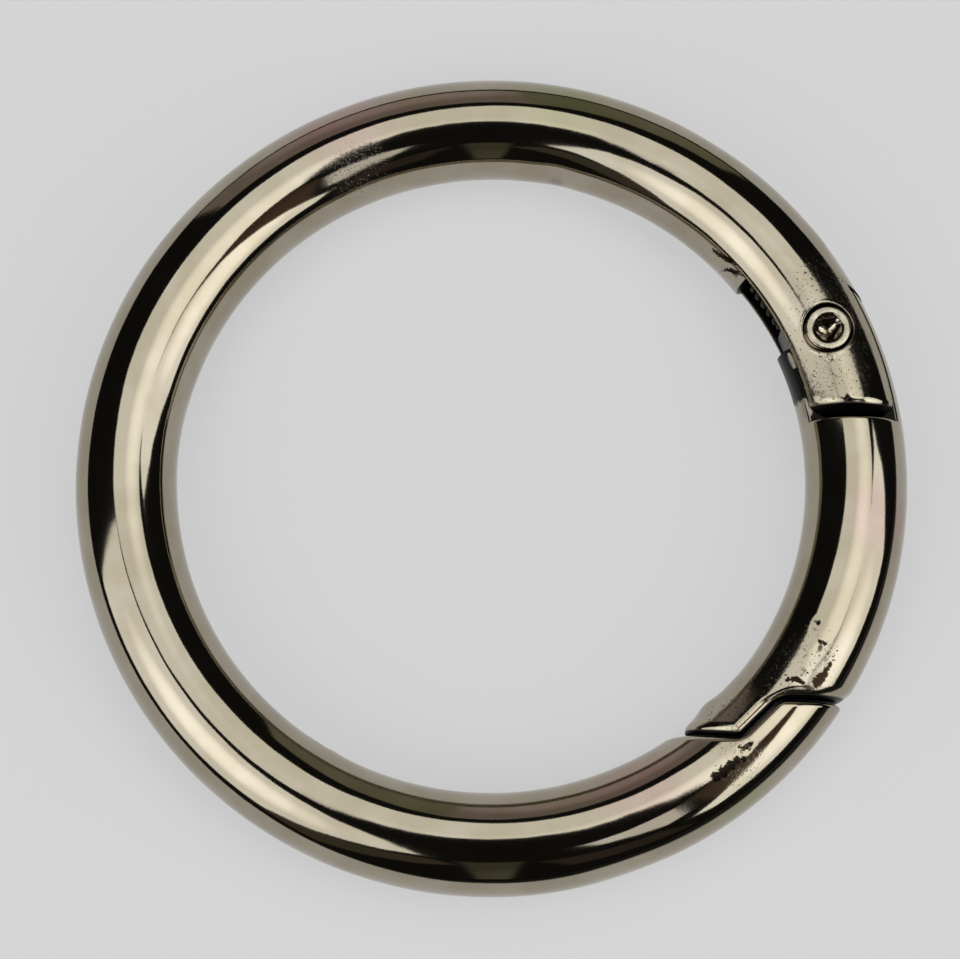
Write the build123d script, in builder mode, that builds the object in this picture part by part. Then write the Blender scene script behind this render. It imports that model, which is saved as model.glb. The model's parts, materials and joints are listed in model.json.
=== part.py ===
from build123d import *
import math
import os

# Spring gate ring: a round die-cast ring with one sprung gate that swings inward.
# Millimetres. The origin is the centre of the ring, in the middle plane of the wire.
# +Z is square to the ring. Seen from +Z the hinge is at the upper right, +X is right and +Y is up.
# The gate hangs from the hinge at its upper end and laps over the ring body at its lower end.

# Ring
ring_inside_diameter = 32.0
wire_diameter = 5.2

# Hinge. Angles are measured round the ring, counter-clockwise from +X.
hinge_angle = 23.15
ear_reach = 4.45
slot_width = 2.86
slot_round_clearance = 0.15
slot_side_clearance = 0.1
hinge_end_gap = 0.12
ear_end_round = 0.55
mouth_edge_round = 0.12

# Rivet
rivet_shank_diameter = 1.5
rivet_head_diameter = 2.2
rivet_head_height = 0.42
rivet_head_round = 0.18
rivet_dimple_diameter = 1.5
rivet_dimple_depth = 0.85
rivet_hole_clearance = 0.03
gate_bore_clearance = 0.05
counterbore_diameter = 2.58
ear_web = 0.62

# Spring and its groove
spring_diameter = 1.9
spring_wire = 0.3
spring_turns = 5.5
spring_end_clearance = 0.15
groove_reach = 4.8
groove_wall = 1.6
groove_corner_round = 0.3

# Heel of the gate's tongue, where the spring stands
heel_height = 1.35
heel_width = 2.2
heel_set_back = 0.65
heel_round = 0.25

# Lap joint at the free end of the gate
lap_angle = -43.3
lap_inset = 0.2
lap_height = 1.86
lap_slope = 44.0
nose_tilt = 6.0
lap_gap = 0.13
lap_corner_round = 0.25
gate_lap_edge_round = 0.3
seat_edge_round = 0.15


def on_ring(radius, angle):
    """A point on a circle round the ring's centre."""
    return Vector(radius * math.cos(math.radians(angle)), radius * math.sin(math.radians(angle)))


# Worked out from the sizes above
wire_radius = wire_diameter / 2
ring_inside_radius = ring_inside_diameter / 2
centre_line_radius = ring_inside_radius + wire_radius
ring_outside_radius = ring_inside_radius + wire_diameter
beyond = wire_diameter
match_tolerance = 0.01
slot_round_radius = wire_radius + slot_round_clearance
tongue_thickness = slot_width - 2 * slot_side_clearance
counterbore_floor = slot_width / 2 + ear_web
rivet_shank_radius = rivet_shank_diameter / 2
rivet_head_radius = rivet_head_diameter / 2
rivet_top = counterbore_floor + rivet_head_height
pivot = on_ring(centre_line_radius, hinge_angle)
ear_end_y = pivot.Y - ear_reach
gate_top_y = ear_end_y - hinge_end_gap
groove_end_angle = hinge_angle + math.degrees(groove_reach / centre_line_radius)
groove_floor_radius = ring_outside_radius - groove_wall
heel_inner = heel_set_back - wire_radius
heel_outer = heel_inner + heel_width
mouth_depth = math.sqrt(wire_radius**2 - (slot_width / 2) ** 2)

# The hinge plane has its X outward along the ring's radius and its Y along the ring, away from the gate.
hinge_plane = Plane(origin=pivot, x_dir=pivot.normalized(), z_dir=(0, 0, 1))

# The lap is a step. Its shoulder lies above and outside its middle, and its nose below and inside.
lap_middle = on_ring(centre_line_radius - lap_inset, lap_angle)
lap_run = lap_height / math.tan(math.radians(lap_slope))
shoulder_corner = lap_middle + Vector(lap_run / 2, lap_height / 2)
nose_corner = lap_middle - Vector(lap_run / 2, lap_height / 2)
shoulder_outer = Vector(ring_outside_radius + beyond, shoulder_corner.Y)
nose_run = nose_corner.X - on_ring(ring_inside_radius, lap_angle).X + beyond
nose_inner = nose_corner + Vector(-nose_run, nose_run * math.tan(math.radians(nose_tilt)))
gate_lap_shift = Vector(-lap_gap * math.tan(math.radians(lap_slope / 2)), lap_gap)


def wire_section():
    """The round section of the wire, ready to turn about the ring's axis."""
    with BuildSketch(Plane.XZ) as section:
        with Locations((centre_line_radius, 0)):
            Circle(wire_radius)
    return section.sketch


def gate_window(top_y, shift):
    """The outline, seen from +Z, between the ends of the ears and the lap joint."""
    corners = [corner + shift for corner in (nose_inner, nose_corner, shoulder_corner, shoulder_outer)]
    with BuildSketch(Plane.XY) as window:
        with BuildLine():
            Polyline((corners[0].X, top_y), *corners, (corners[3].X, top_y), close=True)
        make_face()
        fillet(window.vertices().sort_by_distance(corners[1])[0], lap_corner_round)
        fillet(window.vertices().sort_by_distance(corners[2])[0], lap_corner_round)
    return window.sketch


def lap_edges(part):
    """The edges where the lap joint's faces meet the round surface of the wire."""
    faces = part.faces().filter_by(GeomType.TORUS, reverse=True)
    return faces.filter_by(lambda face: face.center().Y < 0).edges().filter_by(GeomType.LINE, reverse=True)


def on_slot_mouth(edge):
    """True for an edge where a side of the slot or groove comes out of the wire."""
    return abs(abs(edge.radius - centre_line_radius) - mouth_depth) < match_tolerance


def hinge_circle(radius):
    """A circle about the rivet's axis."""
    with BuildSketch(Plane.XY) as circle:
        with Locations(pivot):
            Circle(radius)
    return circle.sketch


# Ring body: the C of the ring with two ears, a slot for the tongue and a groove for the spring
with BuildPart() as ring_body:
    revolve(wire_section(), axis=Axis.Z)
    extrude(gate_window(ear_end_y, Vector(0, 0)), amount=beyond, both=True, mode=Mode.SUBTRACT)

    # The slot parts the two ears and ends round the pivot
    with BuildSketch(hinge_plane):
        Circle(slot_round_radius)
        Rectangle(4 * beyond, 2 * beyond, align=(Align.CENTER, Align.MAX))
    extrude(amount=slot_width / 2, both=True, mode=Mode.SUBTRACT)

    # The groove runs on from the slot and opens toward the middle of the ring
    with BuildSketch(Plane.XY):
        with BuildLine():
            Line((0, 0), on_ring(groove_floor_radius, hinge_angle))
            groove_floor = CenterArc((0, 0), groove_floor_radius, hinge_angle, groove_end_angle - hinge_angle)
            Line(groove_floor @ 1, (0, 0))
        make_face()
        fillet(vertices().sort_by_distance(groove_floor @ 1)[0], groove_corner_round)
    extrude(amount=slot_width / 2, both=True, mode=Mode.SUBTRACT)

    # The rivet's hole and a counterbore on each ear
    extrude(hinge_circle(rivet_shank_radius + rivet_hole_clearance), amount=beyond, both=True, mode=Mode.SUBTRACT)
    for side in (1, -1):
        with BuildSketch(Plane.XY.offset(side * counterbore_floor)):
            with Locations(pivot):
                Circle(counterbore_diameter / 2)
        extrude(amount=side * beyond, mode=Mode.SUBTRACT)

    # The ears' ends are well rounded, and the slot's mouth and the lap's seat have their edges broken
    ear_ends = faces().filter_by(Axis.Y).sort_by(Axis.Y)[-2:]
    fillet(ear_ends.edges().filter_by(GeomType.LINE, reverse=True), ear_end_round)
    fillet(edges().filter_by(GeomType.CIRCLE).filter_by(on_slot_mouth), mouth_edge_round)
    fillet(lap_edges(ring_body), seat_edge_round)

# Gate: the curved arm with its tongue between the ears and its nose on the lap
with BuildPart() as gate:
    revolve(wire_section(), axis=Axis.Z)
    extrude(gate_window(pivot.Y + beyond, gate_lap_shift), amount=beyond, both=True, mode=Mode.INTERSECT)

    # The tongue is rounded about the pivot, and stepped down on the inner side to make the heel
    with BuildSketch(hinge_plane):
        Circle(wire_radius)
        Rectangle(6 * beyond, 6 * beyond, align=(Align.CENTER, Align.MAX))
        with Locations((heel_outer, heel_height)):
            Rectangle(beyond, beyond, align=(Align.MAX, Align.MIN), mode=Mode.SUBTRACT)
        with Locations((heel_inner, 0)):
            Rectangle(beyond, beyond, align=(Align.MAX, Align.MIN), mode=Mode.SUBTRACT)
        fillet(vertices().sort_by_distance((heel_inner, heel_height))[0], heel_round)
        fillet(vertices().sort_by_distance((heel_outer, heel_height))[0], heel_round)
    extrude(amount=beyond, both=True, mode=Mode.INTERSECT)

    # Above the ears' ends only the tongue is left
    for side in (1, -1):
        with BuildSketch(Plane.XY.offset(side * tongue_thickness / 2)):
            with Locations((pivot.X, gate_top_y)):
                Rectangle(4 * beyond, 4 * beyond, align=(Align.CENTER, Align.MIN))
        extrude(amount=side * beyond, mode=Mode.SUBTRACT)
    extrude(hinge_circle(rivet_shank_radius + gate_bore_clearance), amount=beyond, both=True, mode=Mode.SUBTRACT)
    fillet(lap_edges(gate), gate_lap_edge_round)

# Hinge rivet: a round factory head below, and above a rolled rim round a cone-shaped dimple
rivet_plane = Plane(origin=pivot, x_dir=(1, 0, 0), z_dir=(0, -1, 0))
with BuildPart() as hinge_rivet:
    with BuildSketch(rivet_plane):
        with BuildLine():
            Polyline(
                (0, -rivet_top),
                (rivet_head_radius, -rivet_top),
                (rivet_head_radius, -counterbore_floor),
                (rivet_shank_radius, -counterbore_floor),
                (rivet_shank_radius, counterbore_floor),
                (rivet_head_radius, counterbore_floor),
                (rivet_head_radius, rivet_top),
                (rivet_dimple_diameter / 2, rivet_top),
                (0, rivet_top - rivet_dimple_depth),
                close=True,
            )
        make_face()
        rims = vertices().group_by(Axis.X)[-1].sort_by(Axis.Z)
        fillet([rims[0], rims[-1]], rivet_head_round)
    revolve(axis=Axis(pivot, (0, 0, 1)))

# Gate spring: a small coil that stands between the groove's far wall and the heel
heel_seat = hinge_plane.from_local_coords((heel_inner + spring_diameter / 2, heel_height, 0))
wall_seat = on_ring(heel_seat.length, groove_end_angle)
spring_direction = (wall_seat - heel_seat).normalized()
spring_length = (wall_seat - heel_seat).length - 2 * spring_end_clearance - spring_wire
spring_start = heel_seat + spring_direction * (spring_end_clearance + spring_wire / 2)

with BuildPart() as gate_spring:
    with BuildLine() as coil:
        Helix(
            pitch=spring_length / spring_turns,
            height=spring_length,
            radius=(spring_diameter - spring_wire) / 2,
            center=spring_start,
            direction=spring_direction,
        )
    with BuildSketch(Plane(origin=coil.line @ 0, z_dir=coil.line % 0)):
        Circle(spring_wire / 2)
    sweep(path=coil.line, is_frenet=True)

# Every piece is its own solid
pieces = {"ring_body": ring_body, "gate": gate, "hinge_rivet": hinge_rivet, "gate_spring": gate_spring}
os.makedirs("parts", exist_ok=True)
for name, piece in pieces.items():
    piece.part.label = name
    export_step(piece.part, f"parts/{name}.step")
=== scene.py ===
import json
import math

import bmesh
import bpy
import numpy as np
from bpy.props import FloatProperty, FloatVectorProperty, IntProperty, PointerProperty
from bpy.types import Operator, Panel, PropertyGroup
from mathutils import Matrix, Vector


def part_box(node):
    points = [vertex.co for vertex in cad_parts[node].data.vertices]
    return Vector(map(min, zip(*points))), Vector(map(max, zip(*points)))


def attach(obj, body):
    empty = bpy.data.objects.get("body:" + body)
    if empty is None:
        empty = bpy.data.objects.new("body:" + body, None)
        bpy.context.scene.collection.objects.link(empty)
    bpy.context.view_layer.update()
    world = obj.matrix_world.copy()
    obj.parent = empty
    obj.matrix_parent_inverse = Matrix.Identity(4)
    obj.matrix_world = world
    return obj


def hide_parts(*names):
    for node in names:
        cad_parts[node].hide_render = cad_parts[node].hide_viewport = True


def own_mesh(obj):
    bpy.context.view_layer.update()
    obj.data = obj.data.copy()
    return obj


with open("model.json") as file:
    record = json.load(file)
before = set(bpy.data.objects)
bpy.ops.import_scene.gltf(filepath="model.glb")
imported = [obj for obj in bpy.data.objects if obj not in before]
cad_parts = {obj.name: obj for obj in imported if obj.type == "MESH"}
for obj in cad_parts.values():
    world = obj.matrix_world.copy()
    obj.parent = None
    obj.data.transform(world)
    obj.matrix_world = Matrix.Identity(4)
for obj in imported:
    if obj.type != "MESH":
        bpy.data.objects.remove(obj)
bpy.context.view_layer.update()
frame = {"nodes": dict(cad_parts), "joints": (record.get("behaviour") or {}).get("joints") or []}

bl_info = {
    "name": "Spring Gate Ring",
    "version": (1, 0, 0),
    "blender": (4, 5, 0),
    "location": "3D View > Sidebar > Gate Ring",
    "description": "Finishes the spring gate ring round its solids and sets the stage for its picture",
    "category": "Object",
}

# The scene is in metres. The ring lies flat, its centre is the origin, and its hinge is at the upper right.
MM = 0.001

# Read from the packed solids
PIVOT = np.array(frame["joints"][0]["pos_m"], float)
ring_low, ring_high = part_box("ring_body")
rivet_low, rivet_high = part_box("hinge_rivet")
WIRE_RADIUS = round(ring_high.z, 5)
CENTRE_LINE = round(-ring_low.x, 5) - WIRE_RADIUS
RIVET_RADIUS = (rivet_high.x - rivet_low.x) / 2
RIVET_TOP = rivet_high.z
PIVOT_ANGLE = math.atan2(PIVOT[1], PIVOT[0])
OUTWARD = np.array((math.cos(PIVOT_ANGLE), math.sin(PIVOT_ANGLE), 0))
ALONG = np.array((-math.sin(PIVOT_ANGLE), math.cos(PIVOT_ANGLE), 0))

# The joint between the ears and the tongue
EAR_REACH = 4.45 * MM
HINGE_END_GAP = 0.12 * MM
EAR_END_Y = PIVOT[1] - EAR_REACH
GATE_TOP_Y = EAR_END_Y - HINGE_END_GAP
TONGUE_HALF = 1.33 * MM
COUNTERBORE_RADIUS = 1.29 * MM
COUNTERBORE_FLOOR = 2.05 * MM
COUNTERBORE_ROUND = 0.05 * MM
LIP_REACH = COUNTERBORE_RADIUS + 0.11 * MM
LIP_WIDTH = 0.07 * MM
GROOVE_END_ANGLE = 37.94

# The lap joint, a step with a nose inside and a shoulder outside
LAP_ANGLE = math.radians(-43.3)
LAP_INSET = 0.2 * MM
LAP_HEIGHT = 1.86 * MM
LAP_SLOPE = math.radians(44)
NOSE_TILT = math.radians(6)
LAP_GAP = 0.13 * MM
LAP_CORNER_ROUND = 0.25 * MM


# Forms. Most functions give how far points lie outside a form, in metres, and less than nothing inside it.
SLOPE_STEP = 0.001 * MM

# The waves that polishing leaves: how many to a turn of the ring, and how many to a turn of the wire
WAVES_ROUND_RING = (11, 17, 23, 31, 43, 59)
WAVES_ROUND_WIRE = (-2, -1, 0, 1, 2)


def rounded_and(first, second, radius):
    """Inside both forms, with the edge between them rounded."""
    over = np.hypot(np.maximum(first + radius, 0), np.maximum(second + radius, 0))
    return np.minimum(np.maximum(first, second), -radius) + over


def rounded_or(first, second, radius):
    """Inside either form, with the corner between them filled."""
    return -rounded_and(-first, -second, radius)


def ring_angles(points):
    """Angle round the ring, and angle round the wire from outward over the top, both in radians."""
    x, y, z = points.T
    return np.arctan2(y, x), np.arctan2(z, np.hypot(x, y) - CENTRE_LINE)


def wire(points):
    """The plain round wire of the ring."""
    x, y, z = points.T
    return np.hypot(np.hypot(x, y) - CENTRE_LINE, z) - WIRE_RADIUS


def turned(angle, middle):
    """An angle measured from a middle one, between half a turn back and half a turn on."""
    return (angle - middle + math.pi) % (2 * math.pi) - math.pi


def chamfered_and(first, second, chamfer, radius, lean=1.0):
    """Inside both forms, with a flat cut over the edge between them and its two new edges rounded."""
    cut = (first + lean * second + chamfer) / math.hypot(1, lean)
    return rounded_and(rounded_and(first, cut, radius), second, radius)


def from_rivet(points):
    """Distance from the rivet's axis."""
    return np.hypot(points[:, 0] - PIVOT[0], points[:, 1] - PIVOT[1])


def swelling(points, spots):
    """The height that soft swellings add, each given as ring and wire angles, two reaches and a rise."""
    angle, section = ring_angles(points)
    height = np.zeros(len(points))
    for ring_angle, wire_angle, along, across, rise in spots:
        run = turned(angle, math.radians(ring_angle)) * CENTRE_LINE / (along * MM)
        turn = turned(section, math.radians(wire_angle)) * WIRE_RADIUS / (across * MM)
        height += rise * MM * np.exp(-(run**2 + turn**2))
    return height


def polish_waves(points, height, seed):
    """How deep polishing by hand has cut into the skin, as slow waves round the ring and the wire."""
    angle, section = ring_angles(points)
    rng = np.random.default_rng(seed)
    total = np.zeros(len(points))
    most = 0.0
    for turns in WAVES_ROUND_RING:
        for twist in WAVES_ROUND_WIRE:
            strength = rng.uniform(0.3, 1.0) * WAVES_ROUND_RING[0] / turns
            most += strength
            total += strength * np.sin(turns * angle + twist * section + rng.uniform(0, 2 * math.pi))
    return height * (1 + total / most)


def lap_lines(points, shift):
    """How far points lie below the nose's line, beyond the slope and below the shoulder's line."""
    middle = (CENTRE_LINE - LAP_INSET) * np.array((math.cos(LAP_ANGLE), math.sin(LAP_ANGLE)))
    run = LAP_HEIGHT / math.tan(LAP_SLOPE)
    half_step = np.array((run / 2, LAP_HEIGHT / 2))
    lift = shift * np.array((-math.tan(LAP_SLOPE / 2), 1))
    nose_x, nose_y = (points[:, :2] - (middle - half_step + lift)).T
    below_nose = -(nose_x * math.sin(NOSE_TILT) + nose_y * math.cos(NOSE_TILT))
    beyond_slope = nose_x * math.sin(LAP_SLOPE) - nose_y * math.cos(LAP_SLOPE)
    return below_nose, beyond_slope, (middle + half_step + lift)[1] - points[:, 1]


def lap_above(points):
    """The side of the lap joint that the gate keeps."""
    below_nose, beyond_slope, below_shoulder = lap_lines(points, LAP_GAP)
    step = rounded_or(beyond_slope, below_shoulder, LAP_CORNER_ROUND)
    return rounded_and(below_nose, step, LAP_CORNER_ROUND)


def lap_below(points):
    """The side of the lap joint that the ring body keeps."""
    below_nose, beyond_slope, below_shoulder = lap_lines(points, 0)
    step = rounded_and(-beyond_slope, -below_shoulder, LAP_CORNER_ROUND)
    return rounded_or(-below_nose, step, LAP_CORNER_ROUND)


# Local swellings and dents of the castings: ring and wire angles in degrees, then reach along the ring,
# reach round the wire and rise in mm
BODY_SPOTS = [
    (18.6, 100.9, 0.13, 0.13, 0.09),
    (31.5, 5, 1.6, 1.6, 0.10),
    (57, 0, 1.4, 1.2, -0.05),
    (-70, 10, 2.4, 1.5, -0.07),
    (-121, 178, 0.9, 0.9, 0.07),
    (78, 180, 1.0, 1.2, -0.07),
    (172, 180, 3.0, 1.2, -0.05),
    (-48.1, 84, 0.30, 0.12, -0.05),
    (-53.0, 150, 0.45, 0.35, 0.05),
    (42.4, 169, 0.30, 0.30, 0.08),
    (41.2, 164, 0.34, 0.30, 0.10),
    (39.9, 159, 0.32, 0.28, 0.08),
]
GATE_SPOTS = [
    (-47.2, 176, 0.85, 0.9, 0.22),
    (-42.5, 178, 1.2, 1.0, 0.07),
    (-26.1, 104, 0.22, 0.18, -0.05),
    (-29.5, 89, 0.30, 0.16, -0.05),
    (-31.3, 100, 0.12, 0.12, -0.03),
    (-33.8, 93, 0.20, 0.14, -0.035),
    (-31.8, 74, 0.9, 0.35, -0.035),
]


def body_form(points, casting):
    """The finished ring body near its skin, without its slot, groove and holes."""
    waves = polish_waves(points, casting.wave_height, casting.seed)
    skin = wire(points) - swelling(points, BODY_SPOTS) + waves
    out = from_rivet(points)
    lip = np.exp(-(((out - LIP_REACH) / LIP_WIDTH) ** 2)) * casting.lip_height
    bored = rounded_and(skin - lip, COUNTERBORE_RADIUS - out, COUNTERBORE_ROUND)
    ears = chamfered_and(bored, EAR_END_Y - points[:, 1], casting.ear_end_cut, casting.ear_end_round)
    seat = rounded_and(skin, lap_below(points), casting.seat_edge_round)
    worked = np.where(points[:, 1] > 0, ears, seat)
    return np.where(points[:, 0] > 0, worked, skin)


def gate_form(points, casting):
    """The finished gate near its skin, without its heel and bore."""
    waves = polish_waves(points, casting.wave_height, casting.seed + 1)
    skin = wire(points) - swelling(points, GATE_SPOTS) + waves
    nose = chamfered_and(
        skin, lap_above(points), casting.lap_edge_cut, casting.lap_edge_round, casting.lap_edge_lean)
    arm = rounded_and(skin, points[:, 1] - GATE_TOP_Y, casting.gate_top_round)
    tongue = rounded_and(skin, np.abs(points[:, 2]) - TONGUE_HALF, casting.tongue_round)
    return np.where(points[:, 1] > 0, np.minimum(arm, tongue), nose)


def form_slope(form, points):
    """The direction in which a form's distance grows, and how fast."""
    slope = np.empty_like(points)
    for axis in range(3):
        offset = np.zeros(3)
        offset[axis] = SLOPE_STEP
        slope[:, axis] = (form(points + offset) - form(points - offset)) / (2 * SLOPE_STEP)
    return slope


# Meshes. A vertex is drawn onto its form where it lies on the skin or outside it, if it isn't too far away.
MERGE_DISTANCE = 0.001 * MM
SPLIT_ROUNDS = 7
ON_SKIN = 0.03 * MM
TOO_FAR = 0.45 * MM
DRAW_ROUNDS = 5
LEAST_STEEPNESS = 0.1
FORM_NORMAL_LIMIT = math.radians(40)
SHARP_EDGE = math.radians(35)

# Where the mesh is fine: this near to the skin, and beside the lap, the ears' ends, the rivet and the tongue
FINE_DEPTH = 0.6 * MM
NEAR_SEAT = 0.7 * MM
DRAWN_SEAT = 0.5 * MM
NEAR_NOSE = 1.0 * MM
NEAR_EAR_END = 0.9 * MM
NEAR_GATE_TOP = 0.3 * MM
NEAR_RIVET = 1.75 * MM
RIVET_FROM_HEIGHT = 1.9 * MM
TONGUE_EDGE_DEPTH = 0.5 * MM

# The flash beside the groove: its angles, and how far round it the mesh is fine, in degrees
FLASH_RING_ANGLE, FLASH_RING_REACH = 41, 3.5
FLASH_WIRE_ANGLE, FLASH_WIRE_REACH = 160, 22


def split_long_edges(bm, limit_of):
    """Halves every edge that is longer than its own limit, several times over."""
    for _ in range(SPLIT_ROUNDS):
        middles = np.array([(edge.verts[0].co + edge.verts[1].co) / 2 for edge in bm.edges], float)
        limits = limit_of(middles)
        lengths = np.array([edge.calc_length() for edge in bm.edges])
        chosen = [edge for edge, is_long in zip(bm.edges, lengths > limits) if is_long]
        if not chosen:
            break
        bmesh.ops.subdivide_edges(bm, edges=chosen, cuts=1, use_grid_fill=True)
        bmesh.ops.triangulate(bm, faces=[face for face in bm.faces if len(face.verts) > 3])


def new_piece(name, bm, material, body):
    """Turns a bmesh into a smooth object of one material that rides on a body."""
    mesh = bpy.data.meshes.new(name)
    bm.to_mesh(mesh)
    bm.free()
    mesh.materials.append(material)
    mesh.shade_smooth()
    piece = bpy.data.objects.new(name, mesh)
    bpy.context.scene.collection.objects.link(piece)
    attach(piece, body)
    return piece


def mesh_values(collection, name, width, kind=np.float32):
    """One value of everything in a mesh's collection, as rows."""
    values = np.empty(len(collection) * width, kind)
    collection.foreach_get(name, values)
    return values.reshape(-1, width)


def draw_to_form(mesh, form, always):
    """Moves the vertices of a mesh onto a form's surface and gives its corners the form's own normals."""
    points = mesh_values(mesh.vertices, "co", 3).astype(float)
    distance = form(points)
    chosen = always(points) | (np.abs(distance) < ON_SKIN) | (distance > 0)
    chosen &= np.abs(distance) < TOO_FAR
    moving = points[chosen]
    for _ in range(DRAW_ROUNDS):
        slope = form_slope(form, moving)
        steepness = np.maximum((slope**2).sum(axis=1), LEAST_STEEPNESS)
        moving -= slope * (form(moving) / steepness)[:, None]
    points[chosen] = moving
    mesh.vertices.foreach_set("co", points.astype(np.float32).ravel())
    mesh.update()

    normals = np.zeros_like(points)
    slope = form_slope(form, moving)
    normals[chosen] = slope / np.linalg.norm(slope, axis=1)[:, None]
    corner_faces = np.repeat(mesh_values(mesh.polygons, "normal", 3), 3, axis=0)
    corner_normals = normals[mesh_values(mesh.loops, "vertex_index", 1, np.int32)[:, 0]]
    agree = (corner_faces * corner_normals).sum(axis=1) > math.cos(FORM_NORMAL_LIMIT)
    mesh.set_sharp_from_angle(angle=SHARP_EDGE)
    mesh.normals_split_custom_set((corner_normals * agree[:, None]).tolist())


def finished_copy(name, node, form, limit_of, always, material, body):
    """A merged and refined copy of a CAD node, drawn onto its finished form, which stands for the node."""
    bm = bmesh.new()
    bm.from_mesh(frame["nodes"][node].data)
    bmesh.ops.remove_doubles(bm, verts=bm.verts, dist=MERGE_DISTANCE)
    split_long_edges(bm, limit_of)
    piece = new_piece(name, bm, material, body)
    draw_to_form(piece.data, form, always)
    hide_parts(node)
    return piece


# Shader maths. A Mix node has its colour sockets at these places.
MIX_SHARE, MIX_FIRST, MIX_SECOND, MIX_RESULT = 0, 6, 7, 2

# The edge of a spot and of a tinted patch, as a share of its reach, and how ragged a spot's outline is
SPOT_EDGE = 0.2
PATCH_EDGE = 0.6
RAGGED_PER_MM = 6.5
RAGGED_REACH = 0.38 * MM


class Value:
    """A socket of a material's nodes. Expressions on it add Math nodes, and colours go through mix."""

    def __init__(self, tree, socket):
        self.tree = tree
        self.socket = socket

    def maths(self, operation, *others):
        """The result of a Math node whose inputs are this value and up to two more."""
        inputs = dict(enumerate((self, *others)))
        return self.tree.node("ShaderNodeMath", {"operation": operation}, inputs)

    def __add__(self, other):
        return self.maths("ADD", other)

    def __sub__(self, other):
        return self.maths("SUBTRACT", other)

    def __mul__(self, other):
        return self.maths("MULTIPLY", other)

    def __rsub__(self, other):
        return (self * -1) + other

    __radd__ = __add__
    __rmul__ = __mul__

    def smooth(self, low, high):
        """Nothing below low and one above high, with a soft step between."""
        inputs = {"Value": self, "From Min": low, "From Max": high, "To Min": 0.0, "To Max": 1.0}
        return self.tree.node("ShaderNodeMapRange", {"interpolation_type": "SMOOTHSTEP"}, inputs)


class Finish:
    """The nodes of a material or lamp, and the one method that adds any other node."""

    def __init__(self, owner, shader_name="Principled BSDF"):
        owner.use_nodes = True
        self.nodes = owner.node_tree.nodes
        self.links = owner.node_tree.links
        self.shader = self.nodes[shader_name]

    def node(self, kind, settings, inputs, output=0):
        """A node of a kind, with its settings made first and then its sockets' values or links."""
        made = self.nodes.new(kind)
        for name, value in settings.items():
            setattr(made, name, value)
        for name, value in inputs.items():
            self.feed(made.inputs[name], value)
        return Value(self, made.outputs[output])

    def feed(self, socket, value):
        """Links a value to a socket, or sets the socket to a plain number or colour."""
        if isinstance(value, Value):
            self.links.new(value.socket, socket)
        elif socket.type == "RGBA":
            socket.default_value = (*value, 1)
        else:
            socket.default_value = value

    def surface(self, inputs):
        """Feeds the Principled or Emission node's sockets by name."""
        for name, value in inputs.items():
            self.feed(self.shader.inputs[name], value)

    def parts(self, vector):
        """The three values of a vector."""
        first = self.node("ShaderNodeSeparateXYZ", {}, {0: vector})
        return [Value(self, socket) for socket in first.socket.node.outputs]

    def noise(self, place, per_mm, detail=2.0, output="Fac"):
        """Noise with so many features to the millimetre, from 0 to 1."""
        inputs = {"Vector": place, "Scale": per_mm / MM, "Detail": detail}
        return self.node("ShaderNodeTexNoise", {}, inputs, output)

    def near(self, place, centre, reach, edge):
        """One within a reach of a point and nothing outside it, with a soft edge."""
        ends = {0: place, 1: tuple(centre)}
        gap = self.node("ShaderNodeVectorMath", {"operation": "DISTANCE"}, ends, "Value")
        return 1 - gap.smooth(reach - edge, reach + edge)

    def dot(self, vector, direction):
        """How far a vector reaches in a fixed direction."""
        pair = {0: vector, 1: tuple(direction)}
        return self.node("ShaderNodeVectorMath", {"operation": "DOT_PRODUCT"}, pair, "Value")

    def inside(self, seen, outline, edge):
        """One where a direction lies between the corners of an outline that bulges everywhere."""
        middle = sum(outline, Vector())
        share = 1.0
        for corner, following in zip(outline, outline[1:] + outline[:1]):
            inward = corner.cross(following).normalized()
            if inward.dot(middle) < 0:
                inward.negate()
            share = self.dot(seen, inward).smooth(-edge / 2, edge / 2) * share
        return share

    def mix(self, share, first, second):
        """A colour between two colours."""
        sockets = {MIX_SHARE: share, MIX_FIRST: first, MIX_SECOND: second}
        return self.node("ShaderNodeMix", {"data_type": "RGBA"}, sockets, MIX_RESULT)

    def ragged(self, place):
        """A place that is shifted a little this way and that, which gives spots ragged outlines."""
        shift = self.noise(place, RAGGED_PER_MM, 3.0, "Color")
        scaled = {0: shift, 1: (RAGGED_REACH,) * 3, 2: place}
        moved = self.node("ShaderNodeVectorMath", {"operation": "MULTIPLY_ADD"}, scaled)
        back = {0: moved, 1: (RAGGED_REACH / 2,) * 3}
        return self.node("ShaderNodeVectorMath", {"operation": "SUBTRACT"}, back)

    def spots(self, place, places, edge=SPOT_EDGE):
        """One inside any of several spots on the wire, each with an edge that is a share of its reach."""
        total = 0.0
        for ring_angle, wire_angle, reach, *depth in places:
            centre = on_wire(ring_angle, wire_angle, sum(depth) * MM)
            total = self.near(place, centre, reach * MM, reach * MM * edge) + total
        return total

    def bump(self, height, distance, normal=None):
        """A normal from a height of 0 to 1 that stands for a distance in metres."""
        inputs = {"Height": height, "Distance": distance}
        if normal is not None:
            inputs["Normal"] = normal
        return self.node("ShaderNodeBump", {}, inputs, "Normal")


def new_material(name):
    """A material, its finish and the point on the piece, in metres."""
    material = bpy.data.materials.new(name)
    finish = Finish(material)
    return material, finish, finish.node("ShaderNodeTexCoord", {}, {}, "Object")


def skin_depth(x, y, z):
    """How deep a point lies under the round wire's surface, in metres."""
    reach = (x * x + y * y).maths("SQRT") - CENTRE_LINE
    return WIRE_RADIUS - (reach * reach + z * z).maths("SQRT")


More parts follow.
